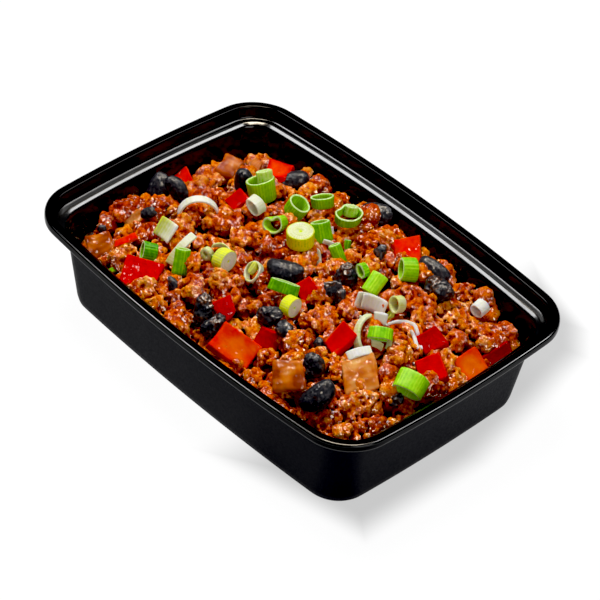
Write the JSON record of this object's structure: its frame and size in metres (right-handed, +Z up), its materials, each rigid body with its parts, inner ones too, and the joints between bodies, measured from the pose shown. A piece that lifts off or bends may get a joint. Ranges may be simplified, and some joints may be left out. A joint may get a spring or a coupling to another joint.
{
  "type": "tray of chili con carne",
  "caption": "Minced-meat chili with beans, peppers and spring onion, heaped in an open rectangular tray with a lid ledge.",
  "frame": {"origin": "middle of the tray's underside, on the surface it stands on", "axes": "+X along the tray's long side, +Y along its short side, +Z up"},
  "size_m": [0.222, 0.1586, 0.0599],
  "materials": {
    "tray": "black polypropylene, satin outside and glossy on the rim, ledge and inner wall",
    "minced_meat": "browned minced meat in a glossy tomato and chili sauce",
    "spring_onion_green": "fresh green spring onion, ribbed and slightly waxy",
    "spring_onion_white": "pale and white spring onion, moist and slightly translucent",
    "black_bean": "near-black cooked beans with a moist, wrinkled skin",
    "red_pepper": "red pepper with a glossy skin and orange-red flesh",
    "onion": "amber fried onion, soft and translucent"
  },
  "bodies": {
    "root": {"tray": "tray", "chili_heap": "minced_meat", "spring_onion_white_01": "spring_onion_white", "spring_onion_white_02": "spring_onion_white", "spring_onion_white_03": "spring_onion_white", "spring_onion_green_01": "spring_onion_green", "spring_onion_green_02": "spring_onion_green", "spring_onion_green_03": "spring_onion_green", "spring_onion_green_04": "spring_onion_green", "spring_onion_green_05": "spring_onion_green", "spring_onion_green_06": "spring_onion_green", "spring_onion_green_07": "spring_onion_green", "spring_onion_green_08": "spring_onion_green", "spring_onion_green_09": "spring_onion_green", "spring_onion_green_10": "spring_onion_green", "spring_onion_green_11": "spring_onion_green", "spring_onion_green_12": "spring_onion_green", "spring_onion_green_13": "spring_onion_green", "spring_onion_green_14": "spring_onion_green", "spring_onion_green_15": "spring_onion_green", "spring_onion_pale_01": "spring_onion_white", "spring_onion_pale_02": "spring_onion_white", "spring_onion_pale_03": "spring_onion_white", "spring_onion_pale_04": "spring_onion_white", "spring_onion_strip_01": "spring_onion_white", "spring_onion_strip_02": "spring_onion_white", "spring_onion_strip_03": "spring_onion_white", "spring_onion_strip_04": "spring_onion_white", "spring_onion_strip_05": "spring_onion_white", "spring_onion_strip_06": "spring_onion_white", "black_bean_01": "black_bean", "black_bean_02": "black_bean", "black_bean_03": "black_bean", "black_bean_04": "black_bean", "black_bean_05": "black_bean", "black_bean_06": "black_bean", "black_bean_07": "black_bean", "black_bean_08": "black_bean", "black_bean_09": "black_bean", "black_bean_10": "black_bean", "black_bean_11": "black_bean", "black_bean_12": "black_bean", "black_bean_13": "black_bean", "black_bean_14": "black_bean", "red_pepper_01": "red_pepper", "red_pepper_02": "red_pepper", "red_pepper_03": "red_pepper", "red_pepper_04": "red_pepper", "red_pepper_05": "red_pepper", "red_pepper_06": "red_pepper", "red_pepper_07": "red_pepper", "red_pepper_08": "red_pepper", "red_pepper_09": "red_pepper", "red_pepper_10": "red_pepper", "red_pepper_11": "red_pepper", "red_pepper_12": "red_pepper", "onion_01": "onion", "onion_02": "onion", "onion_03": "onion", "onion_04": "onion"}
  },
  "joints": []
}
